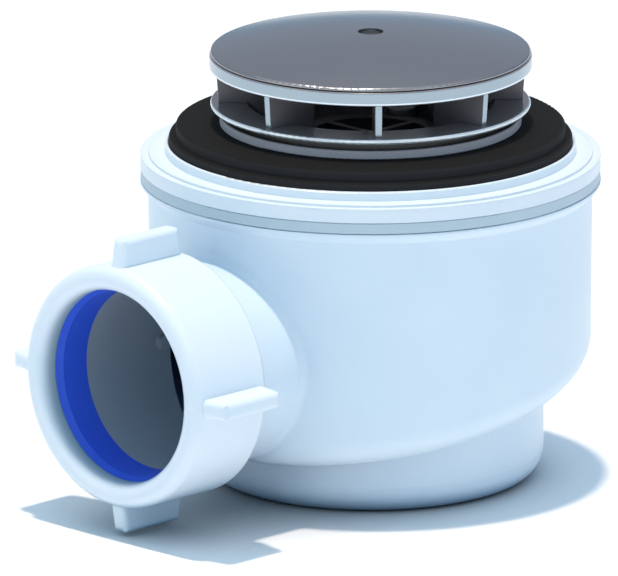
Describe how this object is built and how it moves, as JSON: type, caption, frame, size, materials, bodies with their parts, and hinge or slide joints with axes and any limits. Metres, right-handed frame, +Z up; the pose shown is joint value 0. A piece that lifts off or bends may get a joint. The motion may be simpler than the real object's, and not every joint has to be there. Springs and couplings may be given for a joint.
{
  "type": "waste trap",
  "caption": "Floor-standing waste trap for a shower tray, with a sloping-floored bowl, a round raised cap over a drain flange, and a side outlet with a winged union nut.",
  "frame": {"origin": "centre of the round foot, on the floor", "axes": "+Z up along the foot's and bowl's axis, -Y along the outlet, +X to the right when the outlet points at the viewer"},
  "size_m": [0.126, 0.1633, 0.1245],
  "materials": {
    "white_plastic": "gloss",
    "white_cover": "gloss",
    "white_nut": "gloss",
    "grey_seal": "matt",
    "black_rubber": "matt",
    "grey_rubber": "matt",
    "bright_plate": "polished",
    "bright_frame": "polished",
    "blue_rubber": "matt",
    "grey_plastic": "matt",
    "screw_steel": "satin",
    "insert_brass": "satin"
  },
  "bodies": {
    "root": {"trap_body": "white_plastic", "cover_seal": "grey_seal", "trap_cover": "white_cover", "tray_gasket": "black_rubber", "flange_gasket": "grey_rubber", "drain_flange": "bright_frame", "dip_tube": "grey_plastic", "dip_tube_oring": "black_rubber", "cap_frame": "bright_frame", "cap_plate": "bright_plate", "outlet_seal": "blue_rubber", "outlet_nut": "white_nut", "clamp_screw_1": "screw_steel", "clamp_screw_2": "screw_steel", "clamp_screw_3": "screw_steel", "clamp_screw_4": "screw_steel", "clamp_insert_1": "insert_brass", "clamp_insert_2": "insert_brass", "clamp_insert_3": "insert_brass", "clamp_insert_4": "insert_brass"}
  },
  "joints": []
}
